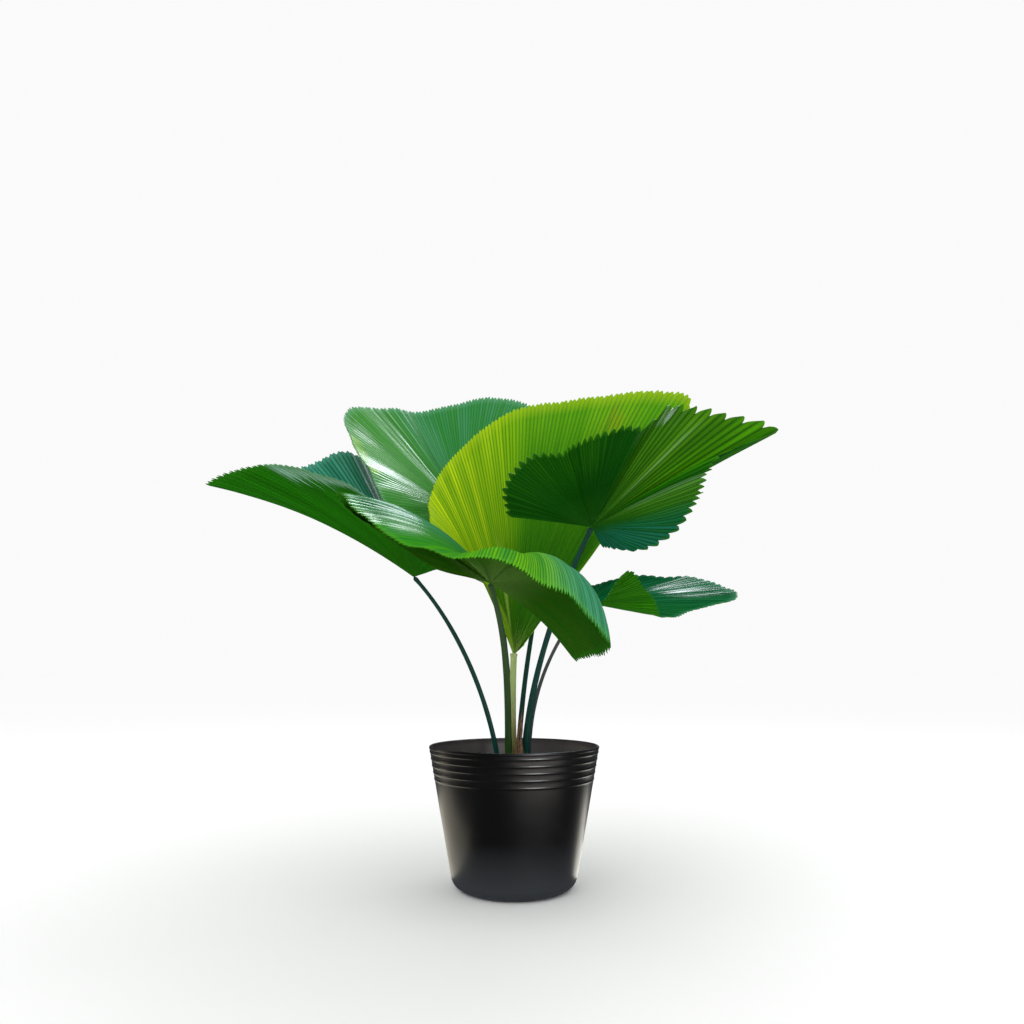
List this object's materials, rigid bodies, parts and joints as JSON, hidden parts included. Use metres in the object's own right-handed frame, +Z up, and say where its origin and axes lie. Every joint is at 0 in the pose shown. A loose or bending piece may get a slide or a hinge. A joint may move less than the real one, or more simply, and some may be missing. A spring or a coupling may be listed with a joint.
{
  "type": "potted ruffled fan palm",
  "caption": "Young clump of round, pleated fan leaves with toothed edges on slender stalks, growing in a round tapered nursery pot that stands on its flat base.",
  "frame": {"origin": "middle of the pot's flat underside, on the surface it stands on", "axes": "+Z up; the pictured side faces -Y, with +X to the viewer's right"},
  "size_m": [0.9552, 0.9296, 0.9454],
  "materials": {
    "pot_plastic": "satin black moulded polyethylene",
    "potting_mix": "dark crumbly potting mix of peat, bark and fibre",
    "dry_sheath": "dry brown fibrous leaf sheath",
    "petiole_dark": "smooth dark green stalk",
    "petiole_pale": "smooth pale green stalk",
    "blade_dark": "glossy dark green pleated leaf",
    "blade_mid": "glossy mid green pleated leaf",
    "blade_pale": "young yellow green pleated leaf"
  },
  "bodies": {
    "root": {"pot": "pot_plastic", "soil": "potting_mix", "leaf_sheath": "dry_sheath", "petiole_left": "petiole_dark", "petiole_front": "petiole_dark", "petiole_centre": "petiole_pale", "petiole_right": "petiole_dark", "petiole_back_left": "petiole_dark", "petiole_low_right": "petiole_dark", "petiole_back_right": "petiole_dark", "petiole_back": "petiole_dark", "blade_left": "blade_dark", "blade_front": "blade_dark", "blade_centre": "blade_pale", "blade_right": "blade_dark", "blade_back_left": "blade_mid", "blade_low_right": "blade_mid", "blade_back_right": "blade_mid", "blade_back": "blade_dark"}
  },
  "joints": []
}
